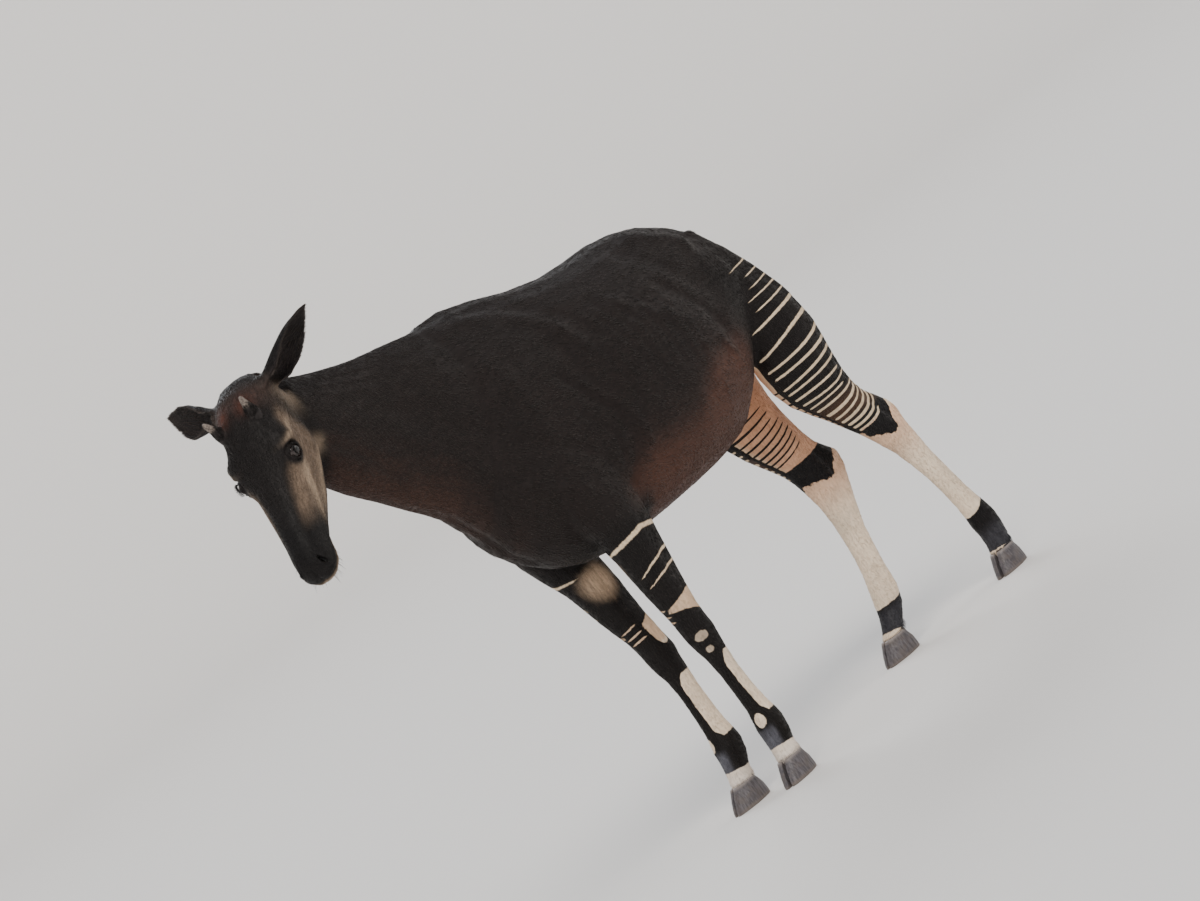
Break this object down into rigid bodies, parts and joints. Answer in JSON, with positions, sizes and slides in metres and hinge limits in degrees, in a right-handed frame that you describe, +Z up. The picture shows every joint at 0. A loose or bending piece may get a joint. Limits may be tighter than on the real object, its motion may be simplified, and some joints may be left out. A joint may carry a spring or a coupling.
{
  "type": "okapi, standing museum-style model",
  "caption": "Life-size okapi standing with its head low and turned to its left, one hind leg set back, still and without joints.",
  "frame": {"origin": "on the ground under the middle of the model's bounding box", "axes": "+X from nose to tail, +Y to the animal's right, +Z up"},
  "size_m": [2.0702, 0.528, 1.7104],
  "materials": {
    "body_coat": "short dense velvety near-black brown coat, warmer under the belly and throat",
    "striped_coat": "short near-black coat crossed by cream stripes, rosy tan on the inner sides",
    "pale_leg": "short cream coat with dark bands at the fetlock and a dark front stripe on the forelegs",
    "face": "short coat: dark nose and forehead, pale grey-tan cheek, red-brown poll",
    "ear": "thin dark skin under a velvety coat, pale fringe inside",
    "eye": "wet, near-black",
    "ossicone": "furred skin over horn core, bare pale tip",
    "hoof": "worn grey horn, paler towards the coronet"
  },
  "bodies": {
    "root": {"ear_left": "ear", "ear_right": "ear", "eye_left": "eye", "eye_right": "eye", "fore_cannon_left": "pale_leg", "fore_cannon_right": "pale_leg", "forearm_left": "striped_coat", "forearm_right": "striped_coat", "gaskin_left": "striped_coat", "gaskin_right": "striped_coat", "head": "face", "hind_cannon_left": "pale_leg", "hind_cannon_right": "pale_leg", "hoof_fore_left_inner": "hoof", "hoof_fore_left_outer": "hoof", "hoof_fore_right_inner": "hoof", "hoof_fore_right_outer": "hoof", "hoof_hind_left_inner": "hoof", "hoof_hind_left_outer": "hoof", "hoof_hind_right_inner": "hoof", "hoof_hind_right_outer": "hoof", "neck": "body_coat", "ossicone_left": "ossicone", "ossicone_right": "ossicone", "tail": "body_coat", "torso": "body_coat"}
  },
  "joints": []
}
